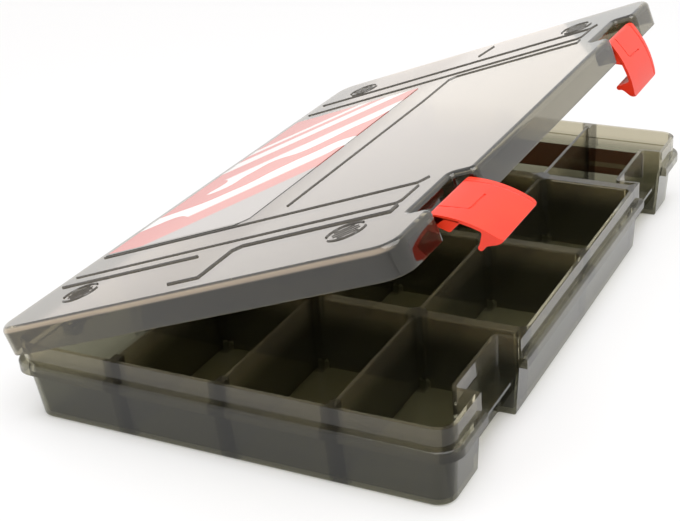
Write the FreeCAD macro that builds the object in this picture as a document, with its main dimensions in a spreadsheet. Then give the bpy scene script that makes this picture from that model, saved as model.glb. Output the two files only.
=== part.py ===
import FreeCAD, Part
import os
import Sketcher

# Flat compartment box with a hinged lid and two front latches, in millimetres.
# The origin is on the ground under the middle of the tray. X runs along the box, Y from the
# latches at the front to the hinges at the rear, and Z up. The tray's lip gives length and depth.
# The lid and the latches are stored as photographed: lid ajar, one latch lifted, one hanging.

doc = FreeCAD.newDocument("compartment_box")
sheet = doc.addObject("Spreadsheet::Sheet", "sizes")


class Size:
    """A number together with the expression that gives it in the document."""

    def __init__(self, value, text):
        self.value = value
        self.text = text

    def __add__(self, other):
        other = as_size(other)
        return Size(self.value + other.value, f"({self.text} + {other.text})")

    def __sub__(self, other):
        other = as_size(other)
        return Size(self.value - other.value, f"({self.text} - {other.text})")

    def __mul__(self, other):
        other = as_size(other)
        return Size(self.value * other.value, f"({self.text} * {other.text})")

    def __truediv__(self, other):
        other = as_size(other)
        return Size(self.value / other.value, f"({self.text} / {other.text})")

    def __neg__(self):
        return Size(-self.value, f"(0 - {self.text})")

    def __radd__(self, other):
        return as_size(other) + self

    def __rsub__(self, other):
        return as_size(other) - self

    def __rmul__(self, other):
        return as_size(other) * self


def as_size(value):
    return value if isinstance(value, Size) else Size(value, repr(value))


def size(name, value):
    """Write one driving size into the sheet and return it."""
    size.row += 1
    sheet.set(f"A{size.row}", name)
    sheet.set(f"B{size.row}", str(value))
    sheet.setAlias(f"B{size.row}", name)
    return Size(value, f"sizes.{name}")


size.row = 0

# Tray
length = size("tray_length", 350.0)
depth = size("tray_depth", 222.0)
height = size("tray_height", 41.0)
wall = size("tray_wall", 2.0)
floor = size("tray_floor", 2.0)
corner = size("tray_corner_radius", 9.0)
foot_inset = size("foot_inset", 3.0)
waist_inset = size("waist_inset", 1.0)
flange_under = size("flange_under", 26.0)
flange_thickness = size("flange_thickness", 3.5)
flange_reach = size("flange_reach", 3.0)
band_rise = size("band_rise", 1.9)

# Compartments
cross_wall_inset = size("cross_wall_inset", 88.6)
cross_wall = size("cross_wall", 6.0)
cross_wall_skin = size("cross_wall_skin", 2.0)
post_length = size("post_length", 11.0)
post_width = size("post_width", 8.0)
post_chamfer = size("post_chamfer", 2.4)
divider_thickness = size("divider_thickness", 2.0)
divider_drop = size("divider_drop", 0.3)
slot_clearance = size("slot_clearance", 0.2)
slot_depth = size("slot_depth", 2.0)
guide_thickness = size("guide_thickness", 1.0)

# Latch notches in the tray's front
notch_inset = size("notch_inset", 57.0)
notch_width = size("notch_width", 47.2)
notch_depth = size("notch_depth", 12.0)
catch_thickness = size("catch_thickness", 1.6)
catch_setback = size("catch_setback", 3.6)

# Lid
lid_rise = size("lid_rise", 5.2)
lid_plate = size("lid_plate", 1.8)
skirt_clearance = size("skirt_clearance", 2.5)
skirt = size("skirt", 1.4)
lid_gap = size("lid_gap", 0.8)
lid_edge_radius = size("lid_edge_radius", 3.0)
lid_open_angle = size("lid_open_angle", 20.2)

# Hinges
hinge_inset = size("hinge_inset", 55.0)
hinge_back = size("hinge_back", 4.0)
hinge_drop = size("hinge_drop", 0.8)
hinge_radius = size("hinge_radius", 3.2)
knuckle_width = size("knuckle_width", 14.0)
ear_width = size("ear_width", 6.0)
knuckle_gap = size("knuckle_gap", 0.4)
relief_gap = size("relief_gap", 0.6)
arm_gap = size("arm_gap", 0.9)
pin_radius = size("pin_radius", 1.2)
press_gap = size("press_gap", 0.02)
running_gap = size("running_gap", 0.08)

# Latches
pivot_setback = size("pivot_setback", 1.65)
pivot_drop = size("pivot_drop", 6.0)
latch_side_gap = size("latch_side_gap", 0.5)
plate_bow_radius = size("plate_bow_radius", 56.0)
plate_thickness = size("plate_thickness", 1.9)
plate_stand = size("plate_stand", 4.7)
plate_above = size("plate_above", 1.2)
plate_below = size("plate_below", 31.2)
hook_below = size("hook_below", 21.8)
hook_reach = size("hook_reach", 4.7)
hook_tip = size("hook_tip", 1.5)
barrel_radius = size("barrel_radius", 2.6)
latch_ear = size("latch_ear", 3.0)
wing_below = size("wing_below", 12.0)
catch_clearance = size("catch_clearance", 0.4)
latch_near_angle = size("latch_near_angle", 56.6)
latch_far_angle = size("latch_far_angle", 6.5)

# Printed sheets
sheet_thickness = size("sheet_thickness", 0.3)
insert_left_inset = size("insert_left_inset", 78.0)
insert_right_inset = size("insert_right_inset", 72.0)
insert_rear_inset = size("insert_rear_inset", 5.0)
insert_depth = size("insert_depth", 91.0)
insert_chamfer = size("insert_chamfer", 6.0)
end_label_inset = size("end_label_inset", 21.0)
end_label_low = size("end_label_low", 9.0)
end_label_high = size("end_label_high", 25.0)

# One overrun lets every cutter pass through the faces that it opens.
overrun = size("overrun", 5.0)
doc.recompute()


def bind(thing, **properties):
    for name, value in properties.items():
        thing.setExpression(name.replace("__", "."), as_size(value).text)
    return thing


def box(name, x, y, z, across, back, up):
    """A block whose low corner is at x, y, z."""
    made = doc.addObject("Part::Box", name)
    bind(made, Length=across, Width=back, Height=up)
    return bind(made, Placement__Base__x=x, Placement__Base__y=y, Placement__Base__z=z)


def rod(name, x, y, z, radius, across):
    """A round bar along X that starts at x."""
    made = doc.addObject("Part::Cylinder", name)
    made.Placement = FreeCAD.Placement(FreeCAD.Vector(), FreeCAD.Rotation(FreeCAD.Vector(0, 1, 0), 90))
    bind(made, Radius=radius, Height=across)
    return bind(made, Placement__Base__x=x, Placement__Base__y=y, Placement__Base__z=z)


def fuse(name, parts):
    made = doc.addObject("Part::MultiFuse", name)
    made.Shapes = parts
    return made


def cut(name, base, tool):
    made = doc.addObject("Part::Cut", name)
    made.Base = base
    made.Tool = tool
    return made


def common(name, base, tool):
    made = doc.addObject("Part::Common", name)
    made.Base = base
    made.Tool = tool
    return made


def outline(body, name, role, points, rise):
    """A closed sketch of straight lines through points, on one of the body's own planes."""
    sketch = body.newObject("Sketcher::SketchObject", name)
    plane = [item for item in body.Origin.OriginFeatures if item.Role == role][0]
    sketch.AttachmentSupport = [(plane, "")]
    sketch.MapMode = "FlatFace"
    bind(sketch, AttachmentOffset__Base__z=rise)
    corners = [FreeCAD.Vector(across.value, up.value, 0) for across, up in points]
    count = len(corners)
    for index in range(count):
        sketch.addGeometry(Part.LineSegment(corners[index], corners[(index + 1) % count]), False)
    for index in range(count):
        sketch.addConstraint(Sketcher.Constraint("Coincident", index, 2, (index + 1) % count, 1))
    for index, (across, up) in enumerate(points):
        for kind, value in (("DistanceX", across), ("DistanceY", up)):
            made = sketch.addConstraint(Sketcher.Constraint(kind, -1, 1, index, 1, value.value))
            sketch.setExpression(f"Constraints[{made}]", value.text)
    return sketch


def cut_edges(name, base, radius, chosen, kind="Part::Fillet"):
    """Round the edges of base that chosen picks, or chamfer them."""
    doc.recompute()
    made = doc.addObject(kind, name)
    made.Base = base
    made.Edges = [(place + 1, radius.value, radius.value)
                  for place, edge in enumerate(base.Shape.Edges) if chosen(edge)]
    return made


def rounded_block(name, low, high, inset_low, inset_high, radius):
    """A block round the tray's middle, inset from the lip by one amount below and one above."""
    form = doc.addObject("Part::Wedge", f"{name}_form")
    form.Placement = FreeCAD.Placement(FreeCAD.Vector(), FreeCAD.Rotation(FreeCAD.Vector(1, 0, 0), 90))
    bind(form, Ymin=low, Ymax=high,
         Xmin=inset_low - length / 2, Xmax=length / 2 - inset_low,
         Zmin=inset_low - depth / 2, Zmax=depth / 2 - inset_low,
         X2min=inset_high - length / 2, X2max=length / 2 - inset_high,
         Z2min=inset_high - depth / 2, Z2max=depth / 2 - inset_high)
    return cut_edges(name, form, radius, rises)


def rises(edge):
    return abs(edge.Vertexes[0].Z - edge.Vertexes[-1].Z) > press_gap.value


def prism(name, role, points, start, across):
    """A straight-sided piece: an outline padded along its plane's normal."""
    body = doc.addObject("PartDesign::Body", name)
    sketch = outline(body, f"{name}_outline", role, points, start)
    pad = body.newObject("PartDesign::Pad", f"{name}_pad")
    pad.Profile = sketch
    bind(pad, Length=across)
    body.Tip = pad
    return body


# Tray: an outer form and an inner form of the same family
flange_top = flange_under + flange_thickness
band_top = flange_top + band_rise
zero = as_size(0)
cross_wall_place = length / 2 - cross_wall_inset
notch_place = length / 2 - notch_inset
hinge_place = length / 2 - hinge_inset
hinge_height = flange_under - hinge_drop

# Heights of the closed lid and of what hangs from it
lid_top = height + lid_rise
skirt_low = flange_top + skirt_clearance
pivot_height = lid_top - pivot_drop
catch_low = pivot_height - hook_below + catch_clearance

outer = fuse("tray_outer", [
    rounded_block("tray_lower", zero, flange_under, foot_inset, waist_inset, corner),
    rounded_block("tray_flange", flange_under, flange_top, -flange_reach, -flange_reach, corner + flange_reach),
    rounded_block("tray_band", flange_top, band_top, -flange_reach, zero, corner),
    rounded_block("tray_lip", flange_under, height, zero, zero, corner),
])
inner = fuse("tray_inner", [
    rounded_block("hollow_lower", floor, flange_under, foot_inset + wall, waist_inset + wall, corner - wall),
    rounded_block("hollow_waist", flange_under, flange_top, waist_inset + wall, wall, corner - wall),
    rounded_block("hollow_upper", flange_top, height + overrun, wall, wall, corner - wall),
])

front = -depth / 2
rear = depth / 2
row_pitch = depth / 4
rows = [-row_pitch, zero, row_pitch]
notch_half = notch_width / 2
slot_width = divider_thickness + slot_clearance * 2
guide_width = slot_width + guide_thickness * 2
slot_inset = foot_inset + wall + slot_clearance

# Compartment walls, posts and guides stand inside the outer form. The cross walls are hollow from
# beneath, between one post and the next.
inside = []
slots = []
hollows = []
post_reach = post_width / 2 + cross_wall_skin
for name, middle in (("near", -cross_wall_place), ("middle", zero), ("far", cross_wall_place)):
    inside.append(box(f"cross_wall_{name}", middle - cross_wall / 2, front, zero, cross_wall, depth, height))
    for place, row in enumerate([front] + rows + [rear]):
        block = box(f"post_block_{name}_{place}", middle - post_length / 2, row - post_width / 2, zero,
                    post_length, post_width, height)
        inside.append(cut_edges(f"post_{name}_{place}", block, post_chamfer, rises, "Part::Chamfer"))
    for place, row in enumerate([front] + rows):
        hollows.append(box(f"wall_hollow_{name}_{place}", middle - cross_wall / 2 + cross_wall_skin,
                           row + post_reach, -overrun, cross_wall - cross_wall_skin * 2,
                           row_pitch - post_reach * 2, height - cross_wall_skin + overrun))
    for place, row in enumerate(rows):
        for turn, side in (("left", -1), ("right", 1)):
            start = middle + side * (post_length / 2 - slot_depth) - (overrun if side < 0 else zero)
            slots.append(box(f"post_slot_{name}_{turn}_{place}", start, row - slot_width / 2, floor,
                             overrun, slot_width, height))
for end, side in (("near", -1), ("far", 1)):
    notch_middle = notch_place * side
    inside.append(box(f"notch_block_{end}", notch_middle - notch_half - wall, front, zero,
                      notch_width + wall * 2, notch_depth + wall, height))
    for place, row in enumerate(rows):
        guide_length = slot_inset + slot_depth
        guide_start = side * length / 2 - (guide_length if side > 0 else zero)
        inside.append(box(f"guide_{end}_{place}", guide_start, row - guide_width / 2, zero,
                          guide_length, guide_width, height))
        slot_start = side * (length / 2 - slot_inset) - (slot_depth if side > 0 else zero)
        slots.append(box(f"wall_slot_{end}_{place}", slot_start, row - slot_width / 2, floor,
                         slot_depth, slot_width, height))

# Front notches with a catch plate across each, and the flange cut back at each hinge
hinge_span = knuckle_width + knuckle_gap * 2 + ear_width * 2
hinge_y = rear + hinge_back
openings = []
catches = []
for end, side in (("near", -1), ("far", 1)):
    notch_left = notch_place * side - notch_half
    openings.append(box(f"notch_{end}", notch_left, front - overrun, -overrun,
                        notch_width, notch_depth + overrun, height + overrun * 2))
    catches.append(box(f"catch_{end}", notch_left - wall / 2, front + catch_setback, catch_low,
                       notch_width + wall, notch_depth - catch_setback + wall / 2, catch_thickness))
hinges = [("near", -hinge_place), ("middle", zero), ("far", hinge_place)]
ears = []
bores = []
for end, place in hinges:
    openings.append(box(f"relief_{end}", place - hinge_span / 2 - relief_gap, rear, flange_under - running_gap,
                        hinge_span + relief_gap * 2, hinge_back, flange_thickness + band_rise + relief_gap))
    for turn, side in (("left", -1), ("right", 1)):
        start = place + side * (knuckle_width / 2 + knuckle_gap) - (ear_width if side < 0 else zero)
        ears.append(box(f"ear_{end}_{turn}", start, rear - waist_inset - wall / 2, hinge_height - hinge_radius,
                        ear_width, hinge_back + waist_inset + wall / 2, hinge_radius * 2))
        ears.append(rod(f"ear_eye_{end}_{turn}", start, hinge_y, hinge_height, hinge_radius, ear_width))
    bores.append(rod(f"ear_bore_{end}", place - hinge_span / 2 - relief_gap, hinge_y, hinge_height,
                     pin_radius + press_gap, hinge_span + relief_gap * 2))

tray_walls = common("tray_walls", fuse("tray_inside", inside), outer)
tray_form = fuse("tray_form", [cut("tray_shell", outer, inner), tray_walls])
tray_open = cut("tray_open", tray_form, fuse("tray_openings", openings + slots + hollows))
tray_whole = fuse("tray_whole", [tray_open] + catches + ears)
tray = cut("base_tray", tray_whole, fuse("ear_bores", bores))

# Dividers: flat panels that stand on the floor in the slots
dividers = []
panel_height = height - floor - divider_drop
post_grip = post_length / 2 - slot_depth + slot_clearance
wall_end = length / 2 - slot_inset - slot_clearance
side_start = cross_wall_place + post_grip
post_end = cross_wall_place - post_grip
for place, row in enumerate(rows):
    for name, start, stop in (("near", -wall_end, -side_start), ("second", -post_end, -post_grip),
                              ("third", post_grip, post_end), ("far", side_start, wall_end)):
        dividers.append(box(f"divider_{name}_{place + 1}", start, row - divider_thickness / 2, floor,
                            stop - start, divider_thickness, panel_height))

# Hinge pins, pressed into the tray's ears
hinge_pins = []
for end, place in hinges:
    hinge_pins.append(rod(f"hinge_pin_{end}", place - hinge_span / 2, hinge_y, hinge_height,
                          pin_radius, hinge_span))

# Lid, drawn closed
lid_reach = lid_gap + skirt
lid_block = rounded_block("lid_block", skirt_low, lid_top, -lid_reach, -lid_reach, corner + lid_reach)


def on_top(edge):
    return all(abs(point.Z - lid_top.value) < press_gap.value for point in edge.Vertexes)


lid_outer = cut_edges("lid_outer", lid_block, lid_edge_radius, on_top)
lid_hollow = rounded_block("lid_hollow", skirt_low - overrun, lid_top - lid_plate, -lid_gap, -lid_gap,
                           corner + lid_gap)

pocket_half = notch_half - lid_gap
recess_half = pocket_half - skirt
lid_front = front - lid_reach
recess_blocks = []
recesses = []
for end, side in (("near", -1), ("far", 1)):
    middle = notch_place * side
    recess_blocks.append(box(f"recess_block_{end}", middle - pocket_half, lid_front, skirt_low,
                             pocket_half * 2, lid_reach + notch_depth - lid_gap, lid_top - skirt_low))
    recesses.append(box(f"recess_{end}", middle - recess_half, lid_front - overrun, skirt_low - overrun,
                        recess_half * 2, overrun + lid_reach + notch_depth - lid_gap - skirt,
                        lid_top - skirt_low + overrun * 2))
    recesses.append(rod(f"recess_bore_{end}", middle - pocket_half - overrun, front + pivot_setback,
                        pivot_height, pin_radius + press_gap, pocket_half * 2 + overrun * 2))

arms = []
arm_bores = []
for end, place in hinges:
    arms.append(box(f"arm_{end}", place - knuckle_width / 2, rear + arm_gap, hinge_height,
                    knuckle_width, hinge_back - arm_gap + hinge_radius / 2, skirt_low - hinge_height + skirt * 2))
    arms.append(rod(f"knuckle_{end}", place - knuckle_width / 2, hinge_y, hinge_height,
                    hinge_radius, knuckle_width))
    arm_bores.append(rod(f"knuckle_bore_{end}", place - hinge_span / 2, hinge_y, hinge_height,
                         pin_radius + running_gap, hinge_span))

lid_walls = common("lid_walls", fuse("recess_blocks", recess_blocks), lid_outer)
lid_form = fuse("lid_form", [cut("lid_shell", lid_outer, lid_hollow), lid_walls] + arms)
lid = cut("lid", lid_form, fuse("lid_openings", recesses + arm_bores))

# Printed sheet on the lid, with one corner cut, and a printed label on the tray's far end
insert_left = insert_left_inset - length / 2
insert_right = length / 2 - insert_right_inset
insert_rear = rear - insert_rear_inset
insert_front = insert_rear - insert_depth
insert = prism("lid_insert", "XY_Plane", [
    (insert_left + insert_chamfer, insert_front),
    (insert_right, insert_front),
    (insert_right, insert_rear),
    (insert_left, insert_rear),
    (insert_left, insert_front + insert_chamfer),
], lid_top, sheet_thickness)


def end_wall(level):
    """Where the tray's far end wall stands at a height below the flange."""
    return length / 2 - foot_inset + (foot_inset - waist_inset) * level / flange_under


end_label = prism("end_label", "XZ_Plane", [
    (end_wall(end_label_low), end_label_low),
    (end_wall(end_label_low) + sheet_thickness, end_label_low),
    (end_wall(end_label_high) + sheet_thickness, end_label_high),
    (end_wall(end_label_high), end_label_high),
], end_label_inset - depth / 2, depth - end_label_inset * 2)


# Latches and their pins, drawn closed: a bowed plate, a hook below, a barrel and a wing at each side
def latch(end, side):
    middle = notch_place * side
    half = recess_half - latch_side_gap
    left = middle - half
    pivot_y = front + pivot_setback
    bow_y = pivot_y - plate_stand + plate_bow_radius
    bow_z = pivot_height + (plate_above - plate_below) / 2
    bow = rod(f"bow_{end}", left, bow_y, bow_z, plate_bow_radius, half * 2)
    hollow = rod(f"bow_hollow_{end}", left - overrun, bow_y, bow_z, plate_bow_radius - plate_thickness,
                 half * 2 + overrun * 2)
    blank = box(f"blank_{end}", left, pivot_y - plate_stand - overrun, pivot_height - plate_below,
                half * 2, plate_stand + overrun * 2, plate_above + plate_below)
    plate = cut(f"plate_{end}", common(f"bowed_{end}", bow, blank), hollow)
    buried = plate_thickness / 2 - plate_stand
    hook = prism(f"hook_{end}", "YZ_Plane", [
        (pivot_y + buried, pivot_height - hook_below),
        (pivot_y + hook_reach, pivot_height - hook_below),
        (pivot_y + hook_reach + hook_tip / 4, pivot_height - hook_below - hook_tip),
        (pivot_y + hook_reach / 4, pivot_height - (hook_below + plate_below) / 2 - hook_tip / 2),
        (pivot_y - plate_thickness, pivot_height - plate_below),
    ], left, half * 2)
    barrel = rod(f"barrel_{end}", left, pivot_y, pivot_height, barrel_radius, half * 2)
    pieces = [plate, hook, barrel]
    for turn, start in (("left", left), ("right", left + half * 2 - latch_ear)):
        pieces.append(prism(f"wing_{end}_{turn}", "YZ_Plane", [
            (pivot_y - plate_thickness, pivot_height + plate_above / 2),
            (pivot_y + barrel_radius / 2, pivot_height + barrel_radius / 2),
            (pivot_y + barrel_radius * 3 / 4, pivot_height),
            (pivot_y + barrel_radius, pivot_height - wing_below * 2 / 3),
            (pivot_y - plate_stand + plate_thickness / 2, pivot_height - wing_below),
        ], start, latch_ear))
    bore = rod(f"barrel_bore_{end}", left - overrun, pivot_y, pivot_height, pin_radius + running_gap,
               half * 2 + overrun * 2)
    closed = cut(f"latch_{end}", fuse(f"latch_form_{end}", pieces), bore)
    pin = rod(f"latch_pin_{end}", middle - pocket_half, pivot_y, pivot_height, pin_radius, pocket_half * 2)
    return closed, pin


latch_near, latch_pin_near = latch("near", -1)
latch_far, latch_pin_far = latch("far", 1)
doc.recompute()

# Stored pose: the lid turns about its hinge line, and each latch about its pin first.
hinge_point = FreeCAD.Vector(0, hinge_y.value, hinge_height.value)
pivot_point = FreeCAD.Vector(0, (front + pivot_setback).value, pivot_height.value)


def turned(point, degrees):
    """The placement that turns a piece about a line along X through point."""
    return FreeCAD.Placement(FreeCAD.Vector(), FreeCAD.Rotation(FreeCAD.Vector(1, 0, 0), degrees), point)


lid_turn = turned(hinge_point, -lid_open_angle.value)
near_turn = lid_turn.multiply(turned(pivot_point, -latch_near_angle.value))
far_turn = lid_turn.multiply(turned(pivot_point, -latch_far_angle.value))
moves = {
    "lid": (lid, lid_turn),
    "lid_insert": (insert, lid_turn),
    "latch_pin_near": (latch_pin_near, lid_turn),
    "latch_pin_far": (latch_pin_far, lid_turn),
    "latch_near": (latch_near, near_turn),
    "latch_far": (latch_far, far_turn),
}

parts = {"base_tray": tray, "end_label": end_label}
parts.update({divider.Name: divider for divider in dividers})
parts.update({pin.Name: pin for pin in hinge_pins})
for name, (drawn, turn) in moves.items():
    stored = doc.addObject("Part::Feature", f"{name}_stored")
    stored.Shape = drawn.Shape
    stored.Placement = turn.multiply(drawn.Placement)
    parts[name] = stored
doc.recompute()

for item in doc.Objects:
    if "Invalid" in item.State or "Error" in item.State:
        raise RuntimeError(f"{item.Name} failed: {item.State}")

os.makedirs("parts", exist_ok=True)
for name, item in parts.items():
    if item.Shape.isNull() or not item.Shape.isValid():
        raise RuntimeError(f"{name} has no valid shape")
    item.Label = name
    item.Shape.exportStep(f"parts/{name}.step")
    bounds = item.Shape.BoundBox
    print(f"{name}: {len(item.Shape.Solids)} solid, {item.Shape.Volume:.0f} mm3, "
          f"x {bounds.XMin:.1f}..{bounds.XMax:.1f}, y {bounds.YMin:.1f}..{bounds.YMax:.1f}, "
          f"z {bounds.ZMin:.1f}..{bounds.ZMax:.1f}")
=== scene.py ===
# %% [markdown]
# # A smoky compartment box, dressed over its engineering model
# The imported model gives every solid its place. Each cell below makes one piece or one finish of the
# box with Blender's own modelling operators, so that a learner can follow the work as by hand.
# Everything is in metres in the model's frame. Sizes are written in millimetres and multiplied by MM.

import math
from functools import cached_property

import bpy
from mathutils import Matrix, Vector


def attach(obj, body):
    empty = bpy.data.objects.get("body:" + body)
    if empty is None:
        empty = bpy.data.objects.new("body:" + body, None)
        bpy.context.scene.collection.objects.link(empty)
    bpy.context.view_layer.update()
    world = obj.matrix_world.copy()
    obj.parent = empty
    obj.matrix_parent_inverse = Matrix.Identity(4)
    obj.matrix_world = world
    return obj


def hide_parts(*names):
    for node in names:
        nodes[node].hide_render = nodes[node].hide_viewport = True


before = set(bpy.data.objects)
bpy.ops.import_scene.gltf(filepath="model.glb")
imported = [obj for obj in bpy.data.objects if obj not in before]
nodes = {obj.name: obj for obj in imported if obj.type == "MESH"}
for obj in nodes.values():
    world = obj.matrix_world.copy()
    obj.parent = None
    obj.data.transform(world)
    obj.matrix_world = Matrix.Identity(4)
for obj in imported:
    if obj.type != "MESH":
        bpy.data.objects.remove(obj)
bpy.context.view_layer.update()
MM = 0.001
TINY = 0.01  # mm; points nearer than this are one point
CORNER_STEPS = 8  # faces round a large corner
SMOOTH_BELOW, SOFTEN_ABOVE, MELT_BELOW = 32, 35, 0.3  # degrees between faces

# %% [markdown]
# ## Hand tools
# Most of the box is moulded from a few moves: start a block, round its rising edges, draft it by
# scaling loops at some heights, and cut one form from another. These helpers name the moves. Each one
# deselects everything first, because an operator acts on all that is selected.

# %% Start a piece and select parts of it
def alone(*pieces):
    """Leave edit mode and select only these pieces, the last one active."""
    if bpy.context.object and bpy.context.object.mode != "OBJECT":
        bpy.ops.object.mode_set(mode="OBJECT")
    bpy.ops.object.select_all(action="DESELECT")
    for piece in pieces:
        piece.select_set(True)
    bpy.context.view_layer.objects.active = pieces[-1]
    return pieces[-1]


def settle(piece, name=None):
    """Put a piece's place, turn and scale into its mesh, so that its object sits at the origin."""
    if name:
        piece.name = piece.data.name = name
    alone(piece)
    bpy.ops.object.transform_apply(location=True, rotation=True, scale=True)
    return piece


def block(name, low, high):
    """A box between two corners, in mm."""
    middle = [(a + b) / 2 * MM for a, b in zip(low, high)]
    extent = [(b - a) * MM for a, b in zip(low, high)]
    bpy.ops.mesh.primitive_cube_add(size=1, location=middle, scale=extent)
    return settle(bpy.context.object, name)


def rod(name, left, right, y, z, radius, sides):
    """A round rod along X, in mm."""
    bpy.ops.mesh.primitive_cylinder_add(vertices=sides, radius=radius * MM, depth=(right - left) * MM,
                                        location=((left + right) / 2 * MM, y * MM, z * MM),
                                        rotation=(0, math.pi / 2, 0))
    return settle(bpy.context.object, name)


def pick(piece, kind, test):
    """In edit mode, select the vertices, edges or faces whose place in mm passes the test."""
    alone(piece)
    bpy.ops.object.mode_set(mode="EDIT")
    bpy.ops.mesh.select_mode(type=kind)
    bpy.ops.mesh.select_all(action="DESELECT")
    bpy.ops.object.mode_set(mode="OBJECT")
    spots = [vertex.co / MM for vertex in piece.data.vertices]
    if kind == "VERT":
        for vertex, spot in zip(piece.data.vertices, spots):
            vertex.select = bool(test(spot))
    elif kind == "EDGE":
        for edge in piece.data.edges:
            edge.select = bool(test(*(spots[index] for index in edge.vertices)))
    else:
        for face in piece.data.polygons:
            face.select = bool(test(face.center / MM, face.normal))
    bpy.ops.object.mode_set(mode="EDIT")


def upright(a, b):
    """Whether the edge between two points rises."""
    return abs(a.z - b.z) > 1


def round_edges(piece, test, radius, segments=6):
    """Round the edges that pass the test."""
    pick(piece, "EDGE", test)
    bpy.ops.mesh.bevel(offset=radius * MM, segments=segments, affect="EDGES")
    bpy.ops.object.mode_set(mode="OBJECT")
    return piece


print("hand tools ready")

# %% Combine, soften, turn and copy pieces
def combine(piece, tool, how="DIFFERENCE"):
    """Cut a tool from a piece, or join it on, and throw the tool away."""
    alone(piece)
    step = piece.modifiers.new("combine", "BOOLEAN")
    step.operation = how
    step.solver = "EXACT"
    step.object = tool
    bpy.ops.object.modifier_apply(modifier=step.name)
    bpy.data.objects.remove(tool)
    return piece


def together(name, pieces):
    """Join forms that stand apart into one tool, so that one cut serves them all."""
    alone(*pieces)
    bpy.ops.object.join()
    return settle(bpy.context.object, name)


def tidy(piece):
    """Merge doubles and melt the edges that a cut leaves on flat faces."""
    pick(piece, "VERT", lambda spot: True)
    bpy.ops.mesh.remove_doubles(threshold=TINY * MM)
    bpy.ops.mesh.dissolve_limited(angle_limit=math.radians(MELT_BELOW))
    bpy.ops.object.mode_set(mode="OBJECT")
    return piece


def smooth(piece):
    """Shade smooth below an angle, with large faces kept flat to the eye."""
    alone(piece)
    bpy.ops.object.shade_smooth_by_angle(angle=math.radians(SMOOTH_BELOW))
    step = piece.modifiers.new("even", "WEIGHTED_NORMAL")
    step.keep_sharp = True
    bpy.ops.object.modifier_apply(modifier=step.name)
    return piece


def soften(piece, width, segments=2):
    """Break every sharp edge by a small round, as a mould does."""
    tidy(piece)
    alone(piece)
    step = piece.modifiers.new("soften", "BEVEL")
    step.width = width * MM
    step.segments = segments
    step.limit_method = "ANGLE"
    step.angle_limit = math.radians(SOFTEN_ABOVE)
    bpy.ops.object.modifier_apply(modifier=step.name)
    return piece


def turn_about(piece, y, z, degrees):
    """Turn a piece about a line along X through (y, z), in mm, and keep the turn in its mesh."""
    line = Matrix.Translation(Vector((0, y, z)) * MM)
    piece.matrix_world = line @ Matrix.Rotation(math.radians(degrees), 4, "X") @ line.inverted()
    return settle(piece)


def copy(piece, name, move):
    """A copy with its own mesh, moved by mm."""
    alone(piece)
    bpy.ops.object.duplicate()
    made = bpy.context.object
    made.location = Vector(move) * MM
    return settle(made, name)


def drafted(name, corner, levels):
    """An upright rounded form from (height, half length, half depth) levels, foot first, in mm."""
    wide, deep = max(level[1] for level in levels), max(level[2] for level in levels)
    piece = block(name, (-wide, -deep, levels[0][0]), (wide, deep, levels[-1][0]))
    round_edges(piece, upright, corner, CORNER_STEPS)
    for height, _, _ in levels[1:-1]:
        pick(piece, "FACE", lambda middle, normal: True)
        bpy.ops.mesh.bisect(plane_co=(0, 0, height * MM), plane_no=(0, 0, 1))
    for height, x, y in levels:
        pick(piece, "VERT", lambda spot: abs(spot.z - height) < TINY)
        bpy.ops.transform.resize(value=(x / wide, y / deep, 1))
    bpy.ops.object.mode_set(mode="OBJECT")
    return piece


def report(piece):
    """Print a piece's size and whether it is closed."""
    uses = {}
    for face in piece.data.polygons:
        for key in face.edge_keys:
            uses[key] = uses.get(key, 0) + 1
    loose = sum(1 for count in uses.values() if count != 2)
    extent = [round(v / MM, 1) for v in piece.dimensions]
    print(f"{piece.name}: {extent} mm, {len(piece.data.polygons)} faces, {loose} open edges")
    return piece


print("shaping tools ready")

# %% [markdown]
# ## The tray
# The tray is one thin moulding: drafted walls on a narrower foot, a flange all round that the lid
# closes over, and two deep notches in the front where the latches swing. It could be built wall by
# wall, but then the walls would only touch. Here the outer form is made first, and the cells are cut
# from it as one block from which the walls, posts and guides have been taken.

# %% Outer form of the tray with its flange
HALF_LENGTH, HALF_DEPTH, TRAY_HEIGHT, CORNER = 175, 111, 41, 9
FOOT_DRAFT, UNDERCUT = 3, 1
FLANGE_LOW, FLANGE_HIGH, FLANGE_REACH, FLANGE_ROUND = 26, 31.4, 3, 1.5
FOOT_ROUND, TRAY_EDGE = 1.1, 0.4


def outside(spot):
    """How far a point lies outside the tray's rounded outline, in mm."""
    x, y = abs(spot.x) - HALF_LENGTH + CORNER, abs(spot.y) - HALF_DEPTH + CORNER
    return math.hypot(max(x, 0), max(y, 0)) + min(max(x, y), 0) - CORNER


tray = drafted("tray_moulding", CORNER, [(0, HALF_LENGTH - FOOT_DRAFT, HALF_DEPTH - FOOT_DRAFT),
                                         (FLANGE_LOW, HALF_LENGTH, HALF_DEPTH),
                                         (FLANGE_HIGH, HALF_LENGTH, HALF_DEPTH),
                                         (TRAY_HEIGHT, HALF_LENGTH, HALF_DEPTH)])
pick(tray, "FACE", lambda middle, normal: FLANGE_LOW < middle.z < FLANGE_HIGH and abs(normal.z) < 0.5)
bpy.ops.mesh.extrude_region_shrink_fatten(TRANSFORM_OT_shrink_fatten={"value": FLANGE_REACH * MM})
pick(tray, "VERT", lambda spot: abs(spot.z - FLANGE_LOW) < 0.1 and outside(spot) < 1)
bpy.ops.transform.resize(value=((HALF_LENGTH - UNDERCUT) / HALF_LENGTH,
                                (HALF_DEPTH - UNDERCUT) / HALF_DEPTH, 1))
round_edges(tray, lambda a, b: min(a.z, b.z) > FLANGE_HIGH - 0.4 and min(outside(a), outside(b)) > 1,
            FLANGE_ROUND, 4)
round_edges(tray, lambda a, b: max(a.z, b.z) < TINY, FOOT_ROUND, 4)
report(tray)

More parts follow.
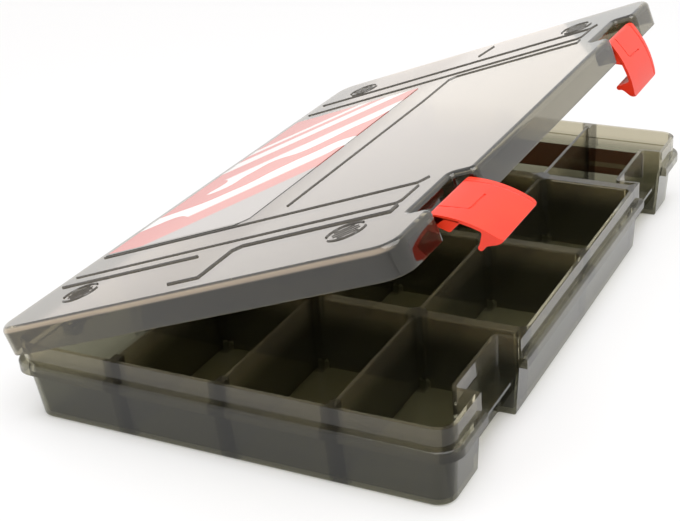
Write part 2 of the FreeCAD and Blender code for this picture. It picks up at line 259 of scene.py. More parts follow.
# %% Cells of the tray
LOW, HIGH, SPAN = -5, 60, 140  # cutting tools reach this far, past the box on every side
WALL, FLOOR_TOP = 2, 2
CROSS_PITCH, ROW_PITCH, CROSS_HALF = 86.4, 55.5, 3
CROSS_WALLS = (-CROSS_PITCH, 0, CROSS_PITCH)
ROWS = (-ROW_PITCH, 0, ROW_PITCH)
POST_HALF_LENGTH, POST_HALF_WIDTH, POST_CHAMFER = 5.5, 4, 2.4
GUIDE_FACE, GUIDE_END, GUIDE_HALF = 167.8, 190, 2.2
NOTCH_PLACES = (-118, 118)
NOTCH_HALF, NOTCH_BACK, NOTCH_CORNER = 23.6, -99, 1.5
HOLLOW_HALF, HOLLOW_INSET, HOLLOW_TOP = 1, 6, 39


def notch_form(x, wall):
    """The space of one notch, widened by a wall."""
    half, back = NOTCH_HALF + wall, NOTCH_BACK + wall
    form = block("notch", (x - half, -SPAN, LOW), (x + half, back, HIGH))
    return round_edges(form, lambda a, b: upright(a, b) and min(a.y, b.y) > back - TINY, NOTCH_CORNER + wall)


cells = drafted("cells", 7, [(FLOOR_TOP, 170, 106), (FLANGE_LOW, 172, 108), (29.5, 173, 109), (50, 173, 109)])
for x in CROSS_WALLS:
    combine(cells, block("wall", (x - CROSS_HALF, -SPAN, LOW), (x + CROSS_HALF, SPAN, HIGH)))
    for y in (-HALF_DEPTH,) + ROWS + (HALF_DEPTH,):
        post = block("post", (x - POST_HALF_LENGTH, y - POST_HALF_WIDTH, LOW),
                     (x + POST_HALF_LENGTH, y + POST_HALF_WIDTH, HIGH))
        combine(cells, round_edges(post, upright, POST_CHAMFER, 1))
for left, right in ((-GUIDE_END, -GUIDE_FACE), (GUIDE_FACE, GUIDE_END)):
    for y in ROWS:
        combine(cells, block("guide", (left, y - GUIDE_HALF, LOW), (right, y + GUIDE_HALF, HIGH)))
for x in NOTCH_PLACES:
    combine(cells, notch_form(x, WALL))
tidy(cells)
combine(tray, cells)
for x in NOTCH_PLACES:
    combine(tray, notch_form(x, 0))
hollows = [block("hollow", (x - HOLLOW_HALF, y + HOLLOW_INSET, LOW),
                 (x + HOLLOW_HALF, y + ROW_PITCH - HOLLOW_INSET, HOLLOW_TOP))
           for x in CROSS_WALLS for y in (-HALF_DEPTH,) + ROWS]
combine(tray, together("wall_hollows", hollows))
report(tray)

# %% Catch plates, hinge eyes and the last cuts of the tray
JOIN = 1  # mm that a joined form reaches into what carries it
CATCH_FRONT, CATCH_LOW, CATCH_HIGH = -107.4, 18.8, 20.4
HINGE_PLACES = (-120, 0, 120)
HINGE_Y, HINGE_Z = 115, 25.2
EYE_INNER, EYE_OUTER, EYE_ROUND, EYE_BORE = 7.4, 13.4, 3.1, 1.22
EYE_LOW, EYE_HIGH, EYE_REAR = 22, 28.4, 118.2
RELIEF_LOW, RELIEF_HIGH, RELIEF_REAR = 25.92, 32, 120
SLOT_FACE, SLOT_END, SLOT_NEAR, SLOT_FAR, SLOT_HALF = 160, 169.8, 3.5, 9, 1.2
for x in NOTCH_PLACES:
    catch_plate = block("catch_plate", (x - NOTCH_HALF - JOIN, CATCH_FRONT, CATCH_LOW),
                        (x + NOTCH_HALF + JOIN, NOTCH_BACK + JOIN, CATCH_HIGH))
    combine(tray, catch_plate, "UNION")
for x in HINGE_PLACES:
    for near, far in ((-EYE_OUTER, -EYE_INNER), (EYE_INNER, EYE_OUTER)):
        eye = block("eye", (x + near, HALF_DEPTH - JOIN, EYE_LOW), (x + far, EYE_REAR, EYE_HIGH))
        round_edges(eye, lambda a, b: min(a.y, b.y) > EYE_REAR - TINY and abs(a.x - b.x) > 1, EYE_ROUND)
        combine(tray, eye, "UNION")
soften(tray, TRAY_EDGE)
for x in HINGE_PLACES:
    combine(tray, block("relief", (x - EYE_INNER, HALF_DEPTH, RELIEF_LOW),
                        (x + EYE_INNER, RELIEF_REAR, RELIEF_HIGH)))
    combine(tray, rod("eye_bore", x - EYE_OUTER - JOIN, x + EYE_OUTER + JOIN, HINGE_Y, HINGE_Z, EYE_BORE, 32))
slots = [(-SLOT_END, -SLOT_FACE), (SLOT_FACE, SLOT_END)]
for x in CROSS_WALLS:
    slots += [(x - SLOT_FAR, x - SLOT_NEAR), (x + SLOT_NEAR, x + SLOT_FAR)]
combine(tray, together("slots", [block("slot", (left, y - SLOT_HALF, FLOOR_TOP), (right, y + SLOT_HALF, HIGH))
                                 for left, right in slots for y in ROWS]))
smooth(tray)
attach(tray, "tray")
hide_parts("base_tray")
report(tray)

# %% [markdown]
# ## Dividers
# Twelve flat panels stand in slots of the posts and of the end walls, three in each column of cells.
# One for each column is modelled and copied, each copy with its own mesh, because all of them are the
# same moulding cut to length.

# %% Divider panels
PANEL_HALF, PANEL_TOP, PANEL_EDGE = 1, 40.7, 0.3
PANEL_RIM, PANEL_SLOPE, PANEL_SINK = 2.6, 0.3, 0.12


def panel(name, left, right):
    """A divider: thin, with rounded edges and a slightly sunk field on each face."""
    made = block(name, (left, -PANEL_HALF, FLOOR_TOP), (right, PANEL_HALF, PANEL_TOP))
    pick(made, "FACE", lambda middle, normal: abs(normal.y) > 0.9)
    bpy.ops.mesh.inset(thickness=PANEL_RIM * MM, depth=0)
    bpy.ops.mesh.inset(thickness=PANEL_SLOPE * MM, depth=-PANEL_SINK * MM)
    soften(made, PANEL_EDGE)
    return smooth(made)


COLUMNS = {"near": (-169.6, -90.1), "second": (-82.7, -3.7), "third": (3.7, 82.7), "far": (90.1, 169.6)}
panels = []
for column, (left, right) in COLUMNS.items():
    first = panel("panel", left, right)
    for row, y in enumerate(ROWS, start=1):
        made = copy(first, f"panel_{column}_{row}_set", (0, y, 0))
        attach(made, "tray")
        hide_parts(f"divider_{column}_{row}")
        panels.append(made)
    bpy.data.objects.remove(first)
    report(made)

# %% [markdown]
# ## The lid
# The lid is a shallow tray turned over: a flat top with a rounded edge, a skirt, a pocket at each
# latch, and three knuckles at the rear. It is modelled closed, where its walls are square to the axes,
# and turned about the hinge line at the end. One form is made twice: as the outside, and drawn in by
# the wall as the hollow that is cut from it. Bores come before the edges are softened, because a cut
# into softened edges can leave holes in the mesh.

# %% Shell, pockets and hinge arms of the lid
LID_TURN = -20.2
LID_FOOT, LID_TOP, LID_CEILING, LID_WALL = 32, 46.2, 44.4, 1.4
LID_HALF_LENGTH, LID_HALF_DEPTH, LID_CORNER = 177.2, 113.2, 11.2
LID_RIM_ROUND, LID_EDGE = 3, 0.3
POCKET_HALF, POCKET_BACK, POCKET_MOUTH = 21.4, -101.2, 4
POCKET_ROUND, HOLLOW_ROUND = 2, 3.2
ARM_HALF, ARM_FRONT, ARM_REAR, ARM_TOP = 7, 111.9, 116.6, 34.8
KNUCKLE_RADIUS, PIN_ROOM = 3.2, 1.28
HOLLOW_FOOT, LATCH_BORE_HALF = 20, 24
PIVOT_Y, PIVOT_Z = -109.35, 40.2


def lid_form(name, wall, foot, top, pocket_corner):
    """The lid's outline drawn in by a wall, with both latch pockets and a rounded top edge."""
    wide, deep = LID_HALF_LENGTH - wall, LID_HALF_DEPTH - wall
    half, back = POCKET_HALF + wall, POCKET_BACK + wall
    form = drafted(name, LID_CORNER - wall, [(foot, wide, deep), (top, wide, deep)])
    for x in NOTCH_PLACES:
        pocket = block("pocket", (x - half, -SPAN, LOW), (x + half, back, HIGH))
        round_edges(pocket, lambda a, b: upright(a, b) and min(a.y, b.y) > back - TINY, pocket_corner)
        combine(form, pocket)
    tidy(form)
    round_edges(form, lambda a, b: upright(a, b) and max(a.y, b.y) < TINY - deep and abs(a.x) < 150,
                POCKET_MOUTH - wall)
    return round_edges(form, lambda a, b: min(a.z, b.z) > top - TINY, LID_RIM_ROUND - wall)


lid = lid_form("lid_moulding", 0, LID_FOOT, LID_TOP, POCKET_ROUND)
combine(lid, lid_form("hollow", LID_WALL, HOLLOW_FOOT, LID_CEILING, HOLLOW_ROUND))
for x in HINGE_PLACES:
    arm = block("arm", (x - ARM_HALF, ARM_FRONT, HINGE_Z), (x + ARM_HALF, ARM_REAR, ARM_TOP))
    round_edges(arm, lambda a, b: min(a.y, b.y) > ARM_REAR - TINY and min(a.z, b.z) > ARM_TOP - TINY, 2)
    combine(lid, arm, "UNION")
    knuckle = rod("knuckle", x - ARM_HALF, x + ARM_HALF, HINGE_Y, HINGE_Z, KNUCKLE_RADIUS, 40)
    combine(lid, knuckle, "UNION")
for x in HINGE_PLACES:
    combine(lid, rod("knuckle_bore", x - ARM_HALF - 2, x + ARM_HALF + 2, HINGE_Y, HINGE_Z, PIN_ROOM, 24))
for x in NOTCH_PLACES:
    latch_bore = rod("latch_bore", x - LATCH_BORE_HALF, x + LATCH_BORE_HALF, PIVOT_Y, PIVOT_Z, EYE_BORE, 24)
    combine(lid, latch_bore)
soften(lid, LID_EDGE)
turn_about(lid, HINGE_Y, HINGE_Z, LID_TURN)
smooth(lid)
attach(lid, "lid")
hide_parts("lid")
report(lid)

# %% [markdown]
# ## Raised lines and round marks
# The decoration stands up from the lid's top in half-round ribs. Each path is drawn in the closed lid's
# own plane, made into a round tube at the top's height, and its lower half is cut away. Four round
# marks, where another box would stand, are two arcs and four short bars each. All of them are joined
# into one piece, which rides with the lid.

# %% Ribs on the lid's top
WIDE_RIB, NARROW_RIB, ARC_RIB, BAR_RIB = 0.88, 0.64, 0.6, 0.32
RIB_GAP = 0.04  # mm between the lid's top and a rib's flat side, so that the faces never coincide
BEYOND = 200  # mm, past the lid's edge on every side


def trace(name, spots):
    """Draw a line of edges by extruding one vertex from spot to spot, in mm."""
    bpy.ops.mesh.primitive_plane_add(size=MM)
    line = bpy.context.object
    line.name = line.data.name = name
    bpy.ops.object.mode_set(mode="EDIT")
    bpy.ops.mesh.merge(type="CENTER")
    bpy.ops.transform.translate(value=Vector(spots[0]) * MM)
    for here, there in zip(spots, spots[1:]):
        step = (Vector(there) - Vector(here)) * MM
        bpy.ops.mesh.extrude_region_move(TRANSFORM_OT_translate={"value": step})
    bpy.ops.object.mode_set(mode="OBJECT")
    return line


def tube(name, spots, radius, rings):
    """A closed round tube along a line, in mm."""
    line = alone(trace(name, spots))
    bpy.ops.object.convert(target="CURVE")
    line.data.bevel_depth = radius * MM
    line.data.bevel_resolution = rings
    line.data.use_fill_caps = True
    bpy.ops.object.convert(target="MESH")
    pick(line, "VERT", lambda spot: True)
    bpy.ops.mesh.remove_doubles(threshold=TINY * MM)
    bpy.ops.mesh.normals_make_consistent(inside=False)
    bpy.ops.object.mode_set(mode="OBJECT")
    return line


def rib(path, radius):
    """A half-round rib along a path of (x, y) on the closed lid's top."""
    made = tube("rib", [(x, y, LID_TOP) for x, y in path], radius, 2)
    return combine(made, block("below", (-BEYOND, -BEYOND, 0), (BEYOND, BEYOND, LID_TOP + RIB_GAP)))


NARROW = [  # paths of (x, y) on the closed lid, in mm
    [(-99.7, 104.6), (-99.7, -85.7), (-94.6, -89.5)],
    [(-123, 104.2), (-123, -86.7), (-120.5, -88.2), (-104.7, -88.6)],
    [(-86.1, -5), (64.6, -8), (102, -7), (106, -10.4), (104, -90.2), (110, -89.8)],
    [(133.6, 103.7), (133.6, -88.4), (139.5, -90.4)],
    [(115, 104.2), (115, -86.6), (117.2, -88.3), (131, -88.9)],
    [(148, -7.2), (165.6, -10.4)],
]
WIDE = [
    [(-164.8, 11.6), (-164.8, -5.6), (-137.5, -5.8), (-133.7, -9.6), (-133.5, -89), (-126.8, -89)],
    [(-134, 104), (-134, 17)],
]
ribs = [rib(path, NARROW_RIB) for path in NARROW] + [rib(path, WIDE_RIB) for path in WIDE]
print(len(ribs), "ribs")

# %% Round stacking marks of the lid
MARK_PLACES = ((-148, 80), (-146.8, -73.8), (148, -74), (148, 79.5))
MARK_SLANT, MARK_RADIUS = math.radians(-52.6), 9
ARC_STARTS, ARC_STEPS, ARC_STEP = (20, 200), 15, 10
BARS = ((-4.4, 4.8), (-1.5, 6.2), (1.5, 6.2), (4.4, 4.8))  # each bar's shift from the middle and half length
along = Vector((math.cos(MARK_SLANT), math.sin(MARK_SLANT)))
across = Vector((-along.y, along.x))
for place in MARK_PLACES:
    for first in ARC_STARTS:
        angles = [math.radians(first + step * ARC_STEP) for step in range(ARC_STEPS)]
        arc = [tuple(Vector(place) + (along * math.cos(angle) + across * math.sin(angle)) * MARK_RADIUS)
               for angle in angles]
        ribs.append(rib(arc, ARC_RIB))
    for shift, reach in BARS:
        ends = [tuple(Vector(place) + along * reach * sign + across * shift) for sign in (-1, 1)]
        ribs.append(rib(ends, BAR_RIB))
ribs = smooth(turn_about(together("lid_ribs", ribs), HINGE_Y, HINGE_Z, LID_TURN))
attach(ribs, "lid")
report(ribs)

# %% [markdown]
# ## The latches
# A latch is a bowed plate that swings on a pin in the lid's pocket. A hook near its free end snaps
# under the tray's catch plate, and two short wings stiffen it beside the barrel. In side view all of
# it but the wings is one outline, so that outline is drawn point by point, filled and extruded. A
# second form with rounded corners trims it, and thin tubes engrave its border line and step.

# %% Latch outline, plate and hook
HALF_WIDTH, TRIM_FOOT, TRIM_TOP, TRIM_ROUND = 20.5, -31.1, 2.56, 2.6
BOW_RADIUS, BOW_MIDDLE, STAND, PLATE_THICKNESS = 56, -15, 4.7, 1.5
BARREL_RADIUS, WING_WIDTH, LATCH_EDGE, WING_EDGE = 2.6, 3, 0.4, 0.3
BORDER_WIDTH, STEP_WIDTH = 0.55, 0.5


def bow(z, depth=0.0):
    """How far in front of the pin the bowed plate lies at height z under it."""
    return -STAND + depth + BOW_RADIUS - math.sqrt(BOW_RADIUS ** 2 - (z - BOW_MIDDLE) ** 2)


def outline(name, spots, left, right):
    """Fill an outline of (y, z) points and extrude it along X, in mm."""
    made = trace(name, [(left, y, z) for y, z in spots] + [(left, *spots[0])])
    pick(made, "VERT", lambda spot: True)
    bpy.ops.mesh.remove_doubles(threshold=TINY * MM)
    bpy.ops.mesh.edge_face_add()
    bpy.ops.mesh.extrude_region_move(TRANSFORM_OT_translate={"value": ((right - left) * MM, 0, 0)})
    bpy.ops.mesh.select_all(action="SELECT")
    bpy.ops.mesh.normals_make_consistent(inside=False)
    bpy.ops.object.mode_set(mode="OBJECT")
    return made


plate = [(bow(z), z) for z in (-30.6, -27, -23, -19, -15, -11, -7, -3.5, -0.5)]
barrel = [(BARREL_RADIUS * math.cos(math.radians(a)), BARREL_RADIUS * math.sin(math.radians(a)))
          for a in range(165, -61, -15)]
inner = [(bow(z, PLATE_THICKNESS), z) for z in (-5, -9, -13, -17, -21)]
hook = [(-2.3, -21.7), (-1.2, -21.9), (3.0, -21.9), (3.8, -21.6), (4.6, -21.6), (5.2, -22.0),
        (5.5, -22.8), (5.2, -23.6), (4.5, -24.1), (3.6, -24.3), (2.7, -24.9), (1.9, -26.0),
        (1.1, -27.5), (0.3, -29.0), (-0.7, -30.4), (-1.5, -31.0), (-2.0, -31.2)]
BORDER_START, BORDER_LEAN, BORDER_HIGH, BORDER_STEP = 15.7, 2.2 / 9, 2.5, 3.4
STEP_LINE = [(-12, 3), (-11.2, -4), (-10.2, -9), (-9, -10.9), (-6, -11.4), (-1, -11.2), (3, -11.4),
             (7, -11.6)]
WING = [(-2.2, 0.6), (1.3, 1.3), (1.95, 0), (2.6, -8), (2.2, -8.8), (-3.4, -12), (-3.9, -11)]


def at_pivot(spots):
    """Move (y, z) points from the pin to the pin's place on the closed lid."""
    return [(y + PIVOT_Y, z + PIVOT_Z) for y, z in spots]


def bore(piece, middle):
    """Cut the pin's hole right through."""
    return combine(piece, rod("pin_bore", middle - 30, middle + 30, PIVOT_Y, PIVOT_Z, PIN_ROOM, 24))


def engrave(piece, name, middle, line, radius):
    """Press a thin line of (x, z) points into the plate."""
    spots = [(middle + x, PIVOT_Y + bow(z), PIVOT_Z + z) for x, z in line]
    return combine(piece, tube(name, spots, radius, 1))


def latch(name, middle, angle):
    """One latch in its stored turn."""
    left, right = middle - HALF_WIDTH, middle + HALF_WIDTH
    made = outline(name, at_pivot(plate + barrel + inner + hook), left - 2, right + 2)
    trim = block("trim", (left, PIVOT_Y - 10, PIVOT_Z + TRIM_FOOT), (right, PIVOT_Y + 10, PIVOT_Z + TRIM_TOP))
    round_edges(trim, lambda a, b: abs(a.y - b.y) > 1, TRIM_ROUND)
    combine(made, trim, "INTERSECT")
    soften(made, LATCH_EDGE, 3)
    bore(made, middle)
    border = [(BORDER_START + BORDER_LEAN * step, BORDER_HIGH - BORDER_STEP * step) for step in range(11)]
    engrave(made, "border", middle, border, BORDER_WIDTH)
    engrave(made, "step", middle, STEP_LINE, STEP_WIDTH)
    wings = [bore(soften(outline("wing", at_pivot(WING), start, start + WING_WIDTH), WING_EDGE), middle)
             for start in (left, right - WING_WIDTH)]
    made = together(name, wings + [made])
    turn_about(made, PIVOT_Y, PIVOT_Z, angle)
    turn_about(made, HINGE_Y, HINGE_Z, LID_TURN)
    return smooth(made)


latches = [latch("latch_moulding_near", -118, -56.6), latch("latch_moulding_far", 118, -6.5)]
for made, node in zip(latches, ("latch_near", "latch_far")):
    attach(made, node)
    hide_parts(node)
    report(made)

# %% [markdown]
# ## Shader maths in plain Python
# A procedural finish is a small sum over patterns. One class wraps a socket so that `0.3 + cloud * 0.06`
# adds its Math nodes by itself, and one method adds any other node from its settings and values.

# %% A level that adds its own Math nodes, and a finish that holds them
class Level:
    """A value socket that takes part in sums."""

    def __init__(self, finish, socket):
        self.finish = finish
        self.socket = socket

    def work(self, operation, other=0.0):
        """A Math node on this level and another level or number."""
        return self.finish.node("ShaderNodeMath", {"operation": operation}, {0: self, 1: other})

    def __add__(self, other):
        return self.work("ADD", other)

    __radd__ = __add__

    def __sub__(self, other):
        return self.work("SUBTRACT", other)

    def __mul__(self, other):
        return self.work("MULTIPLY", other)


class Finish:
    """A material or a world, built up from nodes."""

    def __init__(self, name, kind="materials", shader="Principled BSDF"):
        self.owner = getattr(bpy.data, kind).new(name)
        self.owner.use_nodes = True
        self.tree = self.owner.node_tree
        self.shader = self.tree.nodes[shader]

    @cached_property
    def place(self):
        """The place on the piece, in metres."""
        return self.node("ShaderNodeTexCoord", {}, {}, "Object")

    def node(self, kind, settings, values, output=0):
        """Add a node: its settings first, then a value or link for each socket that is named."""
        made = self.tree.nodes.new(kind)
        for key, value in settings.items():
            if key == "stops":
                ramp = made.color_ramp
                while len(ramp.elements) < len(value):
                    ramp.elements.new(0.5)
                for stop, (position, colour) in zip(ramp.elements, value):
                    stop.position = position
                    stop.color = (*colour, 1)
            else:
                setattr(made, key, value)
        for key, value in values.items():
            self.feed(made.inputs[key], value)
        return Level(self, made.outputs[output])

    def feed(self, socket, value):
        """Link a level to a socket, or set the socket to a number or a colour."""
        if isinstance(value, Level):
            self.tree.links.new(value.socket, socket)
        elif hasattr(value, "__len__") and socket.type == "RGBA":
            socket.default_value = (*value, 1)
        else:
            socket.default_value = value

    def set(self, **values):
        """Feed the shader's sockets: Base_Color=..., Roughness=... and so on."""
        for key, value in values.items():
            self.feed(self.shader.inputs[key.replace("_", " ")], value)

    def mixed(self, share, first, second):
        """Show a mix of two shaders instead of the shader alone."""
        both = self.node("ShaderNodeMixShader", {}, {0: share, 1: first, 2: second})
        self.feed(self.tree.nodes["Material Output"].inputs["Surface"], both)

    def body(self):
        """The shader's own output."""
        return Level(self, self.shader.outputs[0])

    def noise(self, scale, detail, stretch=(1, 1, 1), turn=(0, 0, 0)):
        """A cloudy level, with so many clouds to the metre."""
        where = self.node("ShaderNodeMapping", {},
                          {"Vector": self.place, "Scale": stretch, "Rotation": turn})
        return self.node("ShaderNodeTexNoise", {}, {"Vector": where, "Scale": scale, "Detail": detail})

    def turned(self, turn):
        """The place, turned by three angles."""
        return self.node("ShaderNodeMapping", {}, {"Vector": self.place, "Rotation": turn})

    def axis(self, index):
        """One coordinate of the place, in metres."""
        return self.node("ShaderNodeSeparateXYZ", {}, {"Vector": self.place}, index)

    def away(self, index, pitch):
        """Distance along one axis from the nearest multiple of a pitch, in metres."""
        return self.axis(index).work("PINGPONG", pitch / 2)

    def ramp(self, level, stops):
        """A grey level from a level."""
        stops = [(at, (grey,) * 3) for at, grey in stops]
        return self.node("ShaderNodeValToRGB", {"stops": stops}, {"Fac": level})

    def mix(self, share, first, second):
        """A colour between two, by a share of the second."""
        return self.node("ShaderNodeMix", {"data_type": "RGBA"}, {0: share, 6: first, 7: second}, 2)

    def bump(self, height, depth, strength=1.0):
        """A normal from a height that runs from 0 to 1 and is depth metres tall."""
        return self.node("ShaderNodeBump", {}, {"Height": height, "Distance": depth, "Strength": strength})

    def apply(self, *pieces):
        """Give the finish to pieces, in place of what they had."""
        for piece in pieces:
            piece.data.materials.clear()
            piece.data.materials.append(self.owner)


print("helpers ready")

# %% [markdown]
# ## Smoky plastic
# The box is moulded in clear polystyrene with a smoke tint: khaki through one wall, olive through two
# and nearly black through many. The walls are thin, so they hardly bend what is seen through them: the
# body gets a low index, and a clear coat with the resin's own index gives the mirror image. The walls
# are drafted, thick at the foot and thin at the lip, and the tint runs from dark at the foot to pale at
# the lip: partly for the thinner wall, partly painted light that stands in for the bright backdrop seen
# through the lip. The solid posts are darker still. A little haze scatters the light inside. Lamps would
# stop at the body, so their shadow rays get a tinted see-through shader. Handling leaves dull patches and
# fine scratches, which blur the mirror image, and the mould a slow waviness, which bends it. At both ends
# of the lid a faint warm glow is painted along the rounded rim as emission, standing in for light that
# the clear lid pipes inside its flat top.

# %% Smoke finish
RESIN_INDEX = 1.58
RIPPLE_DEPTH = 0.00002
# The lip's paler tint is partly painted light, standing in for the bright backdrop seen through the lip.
TRAY_FOOT, TRAY_LIP_TINT_AND_PAINTED_LIGHT = (0.235, 0.23, 0.165), (0.62, 0.57, 0.43)
# The ribs are the lid's own resin given a darker tint: painted shade, so that they read as dark lines.
LID_TINT, RIB_TINT_PAINTED_SHADE = (0.26, 0.235, 0.165), (0.12, 0.105, 0.085)


def smoke(name, foot_tint, lip_tint_and_painted_light, roughness, index, coat_index, haze, post_shade=0.0):
    """Clear resin with a smoke tint that may change with height and darken at the posts."""
    finish = Finish(name)
    # Painted light: the tint pales from foot to lip between 25 and 35 mm up. This is partly for the thinner
    # drafted wall and partly stands in for the bright backdrop seen through the lip.
    height = finish.ramp(finish.axis(2) * 20, [(0.5, 0.0), (0.7, 1.0)])
    flow = finish.ramp(finish.noise(9, 3), [(0.3, 0.94), (0.7, 1.0)])
    shade = finish.mix(height, foot_tint, lip_tint_and_painted_light)
    shade = finish.node("ShaderNodeMix", {"data_type": "RGBA", "blend_type": "MULTIPLY"},
                        {0: 1.0, 6: shade, 7: flow}, 2)
    if post_shade:
        posts = finish.ramp(finish.away(0, CROSS_PITCH * MM) * 100, [(0.56, 1.0), (0.60, 0.0)])
        posts = posts * finish.ramp(finish.away(1, ROW_PITCH * MM) * 100, [(0.42, 1.0), (0.46, 0.0)])
        shade = finish.mix(posts * post_shade, shade, (0, 0, 0))
    scratches = finish.noise(700, 2, stretch=(1, 0.04, 0.3), turn=(0, 0, 0.35))
    fine = finish.ramp(scratches, [(0.62, 0.0), (0.72, 1.0)])
    dull = finish.ramp(finish.noise(35, 5), [(0.35, 0.0), (0.75, 1.0)])
    waves = finish.bump(finish.noise(9, 2), RIPPLE_DEPTH)
    finish.set(Base_Color=shade, Roughness=roughness + dull * 0.05 + fine * 0.05, IOR=index,
               Transmission_Weight=1.0 - haze, Coat_Weight=1.0, Coat_Roughness=0.04, Coat_IOR=coat_index,
               Normal=waves)
    passed = finish.node("ShaderNodeBsdfTransparent", {}, {"Color": [math.sqrt(v) for v in foot_tint]})
    lamp_ray = finish.node("ShaderNodeLightPath", {}, {}, "Is Shadow Ray")
    finish.mixed(lamp_ray, finish.body(), passed)
    return finish


smoke_tray = smoke("smoke_tray", TRAY_FOOT, TRAY_LIP_TINT_AND_PAINTED_LIGHT, roughness=0.05, index=1.06, coat_index=1.45,
                   haze=0.05, post_shade=0.6)
smoke_lid = smoke("smoke_lid", LID_TINT, LID_TINT, roughness=0.06, index=1.12, coat_index=RESIN_INDEX,
                  haze=0.02)
# The ribs' darker tint is painted shade.
smoke_rib_painted_shade = smoke("smoke_rib_painted_shade", RIB_TINT_PAINTED_SHADE, RIB_TINT_PAINTED_SHADE, roughness=0.12, index=1.12, coat_index=RESIN_INDEX,
                  haze=0.3)
smoke_tray.apply(tray, *panels)
smoke_lid.apply(lid)
smoke_rib_painted_shade.apply(ribs)
print("smoke on", 2 + len(panels), "pieces and the ribs")

# %% Painted glow along the lid's rim
RIM_LEVEL = 81.16 * MM  # height across the lid's plane where the glow starts
PAINTED_GLOW_TINT, PAINTED_GLOW_STRENGTH = (1.0, 0.80, 0.62), 0.24
turn = math.radians(-LID_TURN)
rise = smoke_lid.axis(1) * math.sin(turn) + smoke_lid.axis(2) * math.cos(turn)
# Painted glow: emission in a band along the lid's rounded rim, only at both ends, stands in for light piped
# inside the flat top.
rim = smoke_lid.ramp((rise - RIM_LEVEL) * 250, [(0.05, 0.0), (0.25, 1.0), (0.58, 1.0), (0.70, 0.0)])
ends = smoke_lid.ramp(smoke_lid.away(0, 0.8) * 10 - 1, [(0.72, 0.0), (0.76, 1.0)])
smoke_lid.set(Emission_Color=smoke_lid.mix(rim * ends, (0, 0, 0), PAINTED_GLOW_TINT), Emission_Strength=PAINTED_GLOW_STRENGTH)
print("rim glow from", round(RIM_LEVEL / MM, 2), "mm up the lid")

# %% [markdown]
# ## Orange latch plastic
# The latches are a satin, opaque orange-red. A slow cloud varies the pigment and the gloss a little, and
# a faint grain keeps the highlight from looking like paint.

# %% Latch finish
orange = Finish("latch_orange")
cloud = orange.ramp(orange.noise(60, 3), [(0.3, 0.0), (0.7, 1.0)])
orange.set(Base_Color=orange.mix(cloud, (0.86, 0.030, 0.006), (0.92, 0.042, 0.010)),
           Roughness=0.3 + cloud * 0.06, IOR=1.49, Normal=orange.bump(orange.noise(1800, 3), 0.00002, 0.4))
orange.apply(*latches)
print("orange on", len(latches), "latches")

# %% [markdown]
# ## Drawn steel wire
# The pins are cut from drawn wire. A noise that is stretched along X, the way the wire was drawn, lays
# fine lines along them.

# %% Steel finish
steel = Finish("pin_steel")
drawn = steel.noise(900, 2, stretch=(0.05, 1, 1))
steel.set(Base_Color=steel.mix(drawn, (0.42, 0.42, 0.43), (0.62, 0.62, 0.63)), Metallic=1.0,
          Roughness=0.22 + drawn * 0.15)
pins = [node for name, node in nodes.items() if "pin" in name]
steel.apply(*pins)
print("steel on", len(pins), "pins")

# %% [markdown]
# ## Printed sheet and label
# Both prints are worked out from the place on the piece: bands over a slanted line for the sheet, and
# blocks for the label. The label is thin enough for some light to come through.

# %% Print finish
SHEET_LEFT, SHEET_FRONT = -97 * MM, 28 * MM


def printed(name, shade_of, roughness, through=0.0):
    """A coated print whose colour is worked out from the place on the piece."""
    finish = Finish(name)
    shade = shade_of(finish)
    finish.set(Base_Color=shade, Roughness=roughness + finish.noise(300, 2) * 0.04, IOR=1.55,
               Transmission_Weight=through)
    return finish


def sheet_shade(finish):
    """Red ground, white waves, two slanted bars, a grey near corner and a dark near edge."""
    x, y = finish.axis(0), finish.axis(1)
    slant = (x - SHEET_LEFT) * 3.4 + (y - SHEET_FRONT) * 3.8
    wave = finish.node("ShaderNodeTexWave", {"bands_direction": "DIAGONAL"},
                       {"Vector": finish.place, "Scale": 9, "Distortion": 5, "Detail": 1,
                        "Detail Scale": 2}, 1)
    red = finish.mix(finish.noise(12, 2), (0.56, 0.15, 0.13), (0.68, 0.19, 0.17))
    waves = finish.ramp(wave, [(0.60, 0.0), (0.64, 1.0)])
    window = finish.ramp(slant, [(0.34, 0.0), (0.36, 1.0), (0.60, 1.0), (0.62, 0.0)])
    bars = finish.ramp(slant, [(0.70, 0.0), (0.71, 1.0), (0.76, 1.0), (0.77, 0.0), (0.80, 0.0), (0.81, 1.0),
                               (0.83, 1.0), (0.84, 0.0)])
    near = finish.ramp(slant, [(0.24, 1.0), (0.26, 0.0)])
    shade = finish.mix(waves * window, red, (0.85, 0.83, 0.81))
    shade = finish.mix(bars, shade, (0.80, 0.78, 0.76))
    shade = finish.mix(near, shade, (0.36, 0.35, 0.34))
    border = finish.ramp(x * 10 + 1, [(0.048, 1.0), (0.054, 0.0)])
    return finish.mix(border, shade, (0.10, 0.10, 0.09))


def label_shade(finish):
    """Dark red with a few paler blocks."""
    blocks = finish.node("ShaderNodeTexBrick", {"offset": 0.5},
                         {"Vector": finish.turned((0, math.pi / 2, math.pi / 2)), "Scale": 20,
                          "Color1": (0.02, 0.02, 0.02), "Color2": (1, 1, 1), "Mortar": (0, 0, 0),
                          "Mortar Size": 0.03, "Brick Width": 0.7, "Row Height": 0.12})
    pale_blocks = finish.ramp(blocks, [(0.75, 0.0), (0.85, 1.0)])
    return finish.mix(pale_blocks, (0.42, 0.15, 0.08), (0.85, 0.70, 0.50))


printed("print_sheet", sheet_shade, roughness=0.07).apply(nodes["lid_insert"])
printed("print_label", label_shade, roughness=0.6, through=0.5).apply(nodes["end_label"])
print("prints on the sheet and the label")

# %% [markdown]
# ## The view
# The camera stands where the photographer's stood, found by fitting the box's measured points. It is
# close to the near corner and looks down along the box. The lens is shifted because the picture was
# cropped off centre.

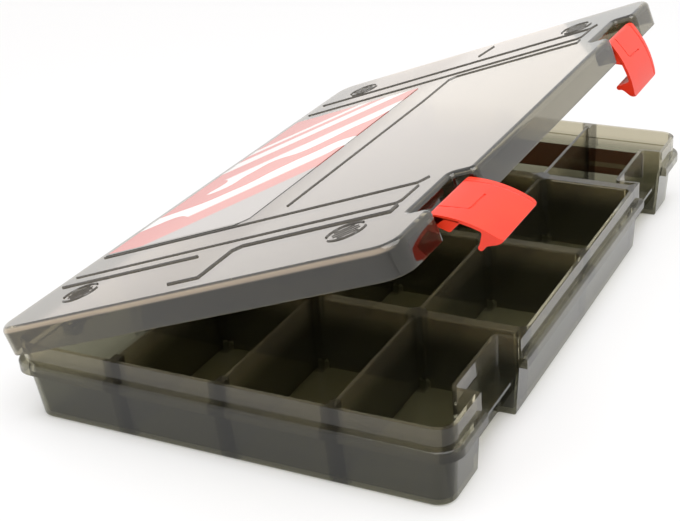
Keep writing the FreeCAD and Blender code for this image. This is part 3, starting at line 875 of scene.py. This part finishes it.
# %% Camera
CAMERA_PLACE = Vector((-586.71, -302.19, 344.65))
CAMERA_TURN = (62.302, 2.377, -66.312)  # degrees about X, Y and Z
bpy.ops.object.camera_add()
camera = bpy.context.object
camera.name = "photo_camera"
camera.location = CAMERA_PLACE * MM
camera.rotation_euler = [math.radians(angle) for angle in CAMERA_TURN]
camera.data.sensor_width = 36
camera.data.lens = 71.22
camera.data.shift_x = -0.15105
camera.data.shift_y = 0.04319
bpy.context.scene.camera = camera
print("camera at", tuple(CAMERA_PLACE), "mm")

# %% [markdown]
# ## Floor and light
# The box stands on a pale floor in a bright, even studio. The floor and the world look white to the
# camera, in mirror images and through the plastic, but light the box at a plain level. Under the box and
# in a band round its foot, the floor's glow fades out. This is a painted shadow shaped to the box's
# outline, so that there the floor shows only its own lit shade. A large softbox hangs overhead, and a
# long strip at the back gives the lid its broad, warm reflection.

# %% White surroundings
FOOTPRINT = (168 * MM, 104 * MM)
FLOOR_SIZE, FLOOR_DROP, FLOOR_GLOW, WORLD_LIGHT = 12, 0.4 * MM, 0.5, 0.55


def seen_rays(finish):
    """1 for rays that show the surroundings, directly, by mirror or through plastic, else 0."""
    camera_ray, mirror_ray, clear_ray = (finish.node("ShaderNodeLightPath", {}, {}, f"Is {kind} Ray")
                                         for kind in ("Camera", "Glossy", "Transmission"))
    return camera_ray.work("MAXIMUM", mirror_ray).work("MAXIMUM", clear_ray)


bpy.ops.mesh.primitive_plane_add(size=FLOOR_SIZE, location=(0, 0, -FLOOR_DROP))
floor = bpy.context.object
floor.name = "floor"
pale = Finish("pale_floor")
pale.set(Base_Color=(0.86, 0.85, 0.85), Roughness=0.6)
glow = pale.node("ShaderNodeEmission", {}, {"Color": (1, 1, 1), "Strength": 1.0})
# Painted shadow: the floor's glow fades out from 10 mm inside to 16 mm outside the box's outline, so near and
# under the box only the lit floor's own shade shows.
beyond_x, beyond_y = (pale.axis(index).work("ABSOLUTE") - half for index, half in enumerate(FOOTPRINT))
floor_glow_past_painted_shadow = pale.node("ShaderNodeMapRange", {"interpolation_type": "SMOOTHSTEP"},
                       {"Value": beyond_x.work("MAXIMUM", beyond_y), "From Min": -10 * MM,
                        "From Max": 16 * MM})
pale.mixed(seen_rays(pale) * floor_glow_past_painted_shadow * FLOOR_GLOW, pale.body(), glow)
pale.apply(floor)

studio = Finish("studio", "worlds", "Background")
strength = studio.node("ShaderNodeMapRange", {},
                       {"Value": seen_rays(studio), "To Min": WORLD_LIGHT, "To Max": 1.0})
studio.set(Color=(1, 1, 1), Strength=strength)
bpy.context.scene.world = studio.owner
print("white surroundings, lighting the box at", WORLD_LIGHT)

# %% Softboxes
def softbox(name, place, aim, size, watts, tint=(1, 1, 1)):
    """A rectangular lamp that the camera doesn't see, turned towards a point. In metres."""
    bpy.ops.object.light_add(type="AREA", location=place)
    lamp = bpy.context.object
    lamp.name = name
    lamp.data.shape = "RECTANGLE"
    lamp.data.size, lamp.data.size_y = size
    lamp.data.energy = watts
    lamp.data.color = tint
    lamp.visible_camera = False
    lamp.rotation_euler = (Vector(place) - Vector(aim)).to_track_quat("Z", "Y").to_euler()
    print(f"{name}: {size} m, {watts} W")


softbox("top_softbox", (-0.3, -0.3, 1.6), (0, 0, 0), (1.6, 1.6), 28)
softbox("back_strip", (1.25, 0.875, 0.18), (1.25, 0, 0.18), (1.75, 0.36), 0.97, (1.0, 0.85, 0.75))
bpy.context.scene.view_settings.view_transform = "Standard"
